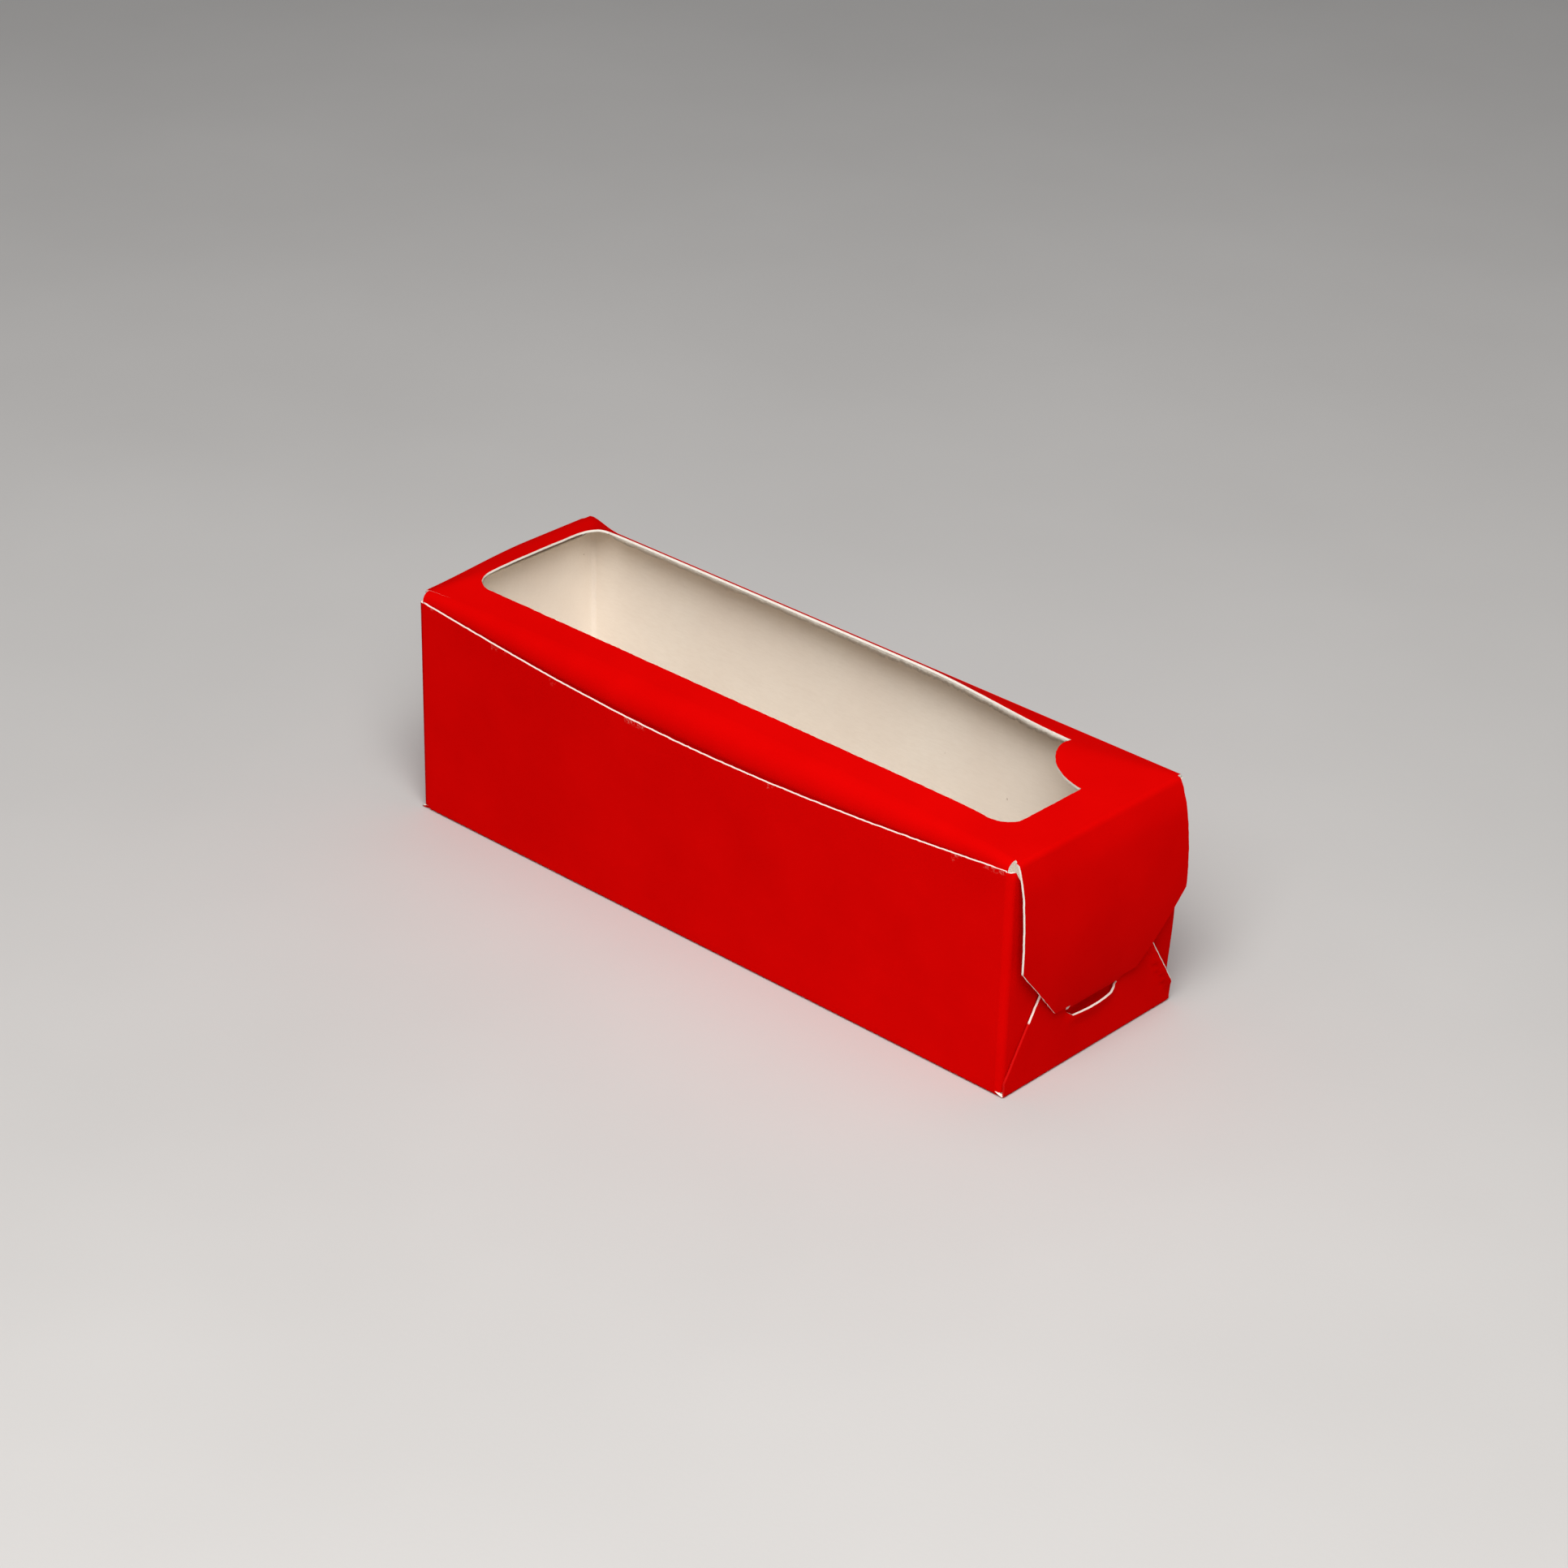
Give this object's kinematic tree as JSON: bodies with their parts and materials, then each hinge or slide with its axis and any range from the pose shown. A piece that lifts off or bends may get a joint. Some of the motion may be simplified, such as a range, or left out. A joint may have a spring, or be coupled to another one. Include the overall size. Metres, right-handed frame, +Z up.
{
  "type": "folding window carton",
  "caption": "Long red paperboard gift carton with a windowed hinged lid, a front tuck flap, and end flaps closed by a tongue in a slit",
  "frame": {"origin": "on the floor under the middle of the closed box", "axes": "+X along the box's length, -Y towards the front wall with the arc-cut edge, +Z up"},
  "size_m": [0.1844, 0.0564, 0.0603],
  "materials": {
    "printed_board": "folding boxboard, satin red print outside, uncoated off-white inside and on the cut edges"
  },
  "bodies": {
    "bottom": {"bottom_panel": "printed_board"},
    "front_wall": {"front_wall": "printed_board"},
    "back_wall": {"back_wall": "printed_board"},
    "lid": {"lid_panel": "printed_board"},
    "tuck_flap": {"tuck_flap": "printed_board"},
    "right_upper_flap": {"right_upper_end_flap": "printed_board"},
    "right_lower_flap": {"right_lower_end_flap": "printed_board"},
    "right_front_dust_flap": {"right_front_dust_flap": "printed_board"},
    "right_back_dust_flap": {"right_back_dust_flap": "printed_board"},
    "left_upper_flap": {"left_upper_end_flap": "printed_board"},
    "left_lower_flap": {"left_lower_end_flap": "printed_board"},
    "left_front_dust_flap": {"left_front_dust_flap": "printed_board"},
    "left_back_dust_flap": {"left_back_dust_flap": "printed_board"}
  },
  "joints": [
    {"name": "front_wall_fold", "type": "hinge", "parent": "bottom", "child": "front_wall", "pos_m": [0, -0.028, 0.00025], "axis": [1, 0, 0], "range_deg": [0, 85]},
    {"name": "back_wall_fold", "type": "hinge", "parent": "bottom", "child": "back_wall", "pos_m": [0, 0.028, 0.00025], "axis": [-1, 0, 0], "range_deg": [0, 85]},
    {"name": "lid_fold", "type": "hinge", "parent": "back_wall", "child": "lid", "pos_m": [0, 0.028, 0.05575], "axis": [-1, 0, 0], "range_deg": [0, 90]},
    {"name": "tuck_flap_fold", "type": "hinge", "parent": "lid", "child": "tuck_flap", "pos_m": [0, -0.02695, 0.0555], "axis": [1, 0, 0], "range_deg": [0, 60]},
    {"name": "right_upper_flap_fold", "type": "hinge", "parent": "lid", "child": "right_upper_flap", "pos_m": [0.08975, 0, 0.05575], "axis": [0, -1, 0], "range_deg": [0, 85]},
    {"name": "right_lower_flap_fold", "type": "hinge", "parent": "bottom", "child": "right_lower_flap", "pos_m": [0.08975, 0, 0.00025], "axis": [0, 1, 0], "range_deg": [0, 85]},
    {"name": "right_front_dust_flap_fold", "type": "hinge", "parent": "front_wall", "child": "right_front_dust_flap", "pos_m": [0.0887, -0.02775, 0.0275], "axis": [0, 0, 1], "range_deg": [0, 60]},
    {"name": "right_back_dust_flap_fold", "type": "hinge", "parent": "back_wall", "child": "right_back_dust_flap", "pos_m": [0.0887, 0.02775, 0.0275], "axis": [0, 0, -1], "range_deg": [0, 60]},
    {"name": "left_upper_flap_fold", "type": "hinge", "parent": "lid", "child": "left_upper_flap", "pos_m": [-0.08975, 0, 0.05575], "axis": [0, 1, 0], "range_deg": [0, 85]},
    {"name": "left_lower_flap_fold", "type": "hinge", "parent": "bottom", "child": "left_lower_flap", "pos_m": [-0.08975, 0, 0.00025], "axis": [0, -1, 0], "range_deg": [0, 85]},
    {"name": "left_front_dust_flap_fold", "type": "hinge", "parent": "front_wall", "child": "left_front_dust_flap", "pos_m": [-0.0887, -0.02775, 0.0275], "axis": [0, 0, -1], "range_deg": [0, 60]},
    {"name": "left_back_dust_flap_fold", "type": "hinge", "parent": "back_wall", "child": "left_back_dust_flap", "pos_m": [-0.0887, 0.02775, 0.0275], "axis": [0, 0, 1], "range_deg": [0, 60]}
  ],
  "couplings": [
    {"joint": "right_lower_flap_fold", "follows": "right_upper_flap_fold", "ratio": 1},
    {"joint": "left_lower_flap_fold", "follows": "left_upper_flap_fold", "ratio": 1}
  ]
}
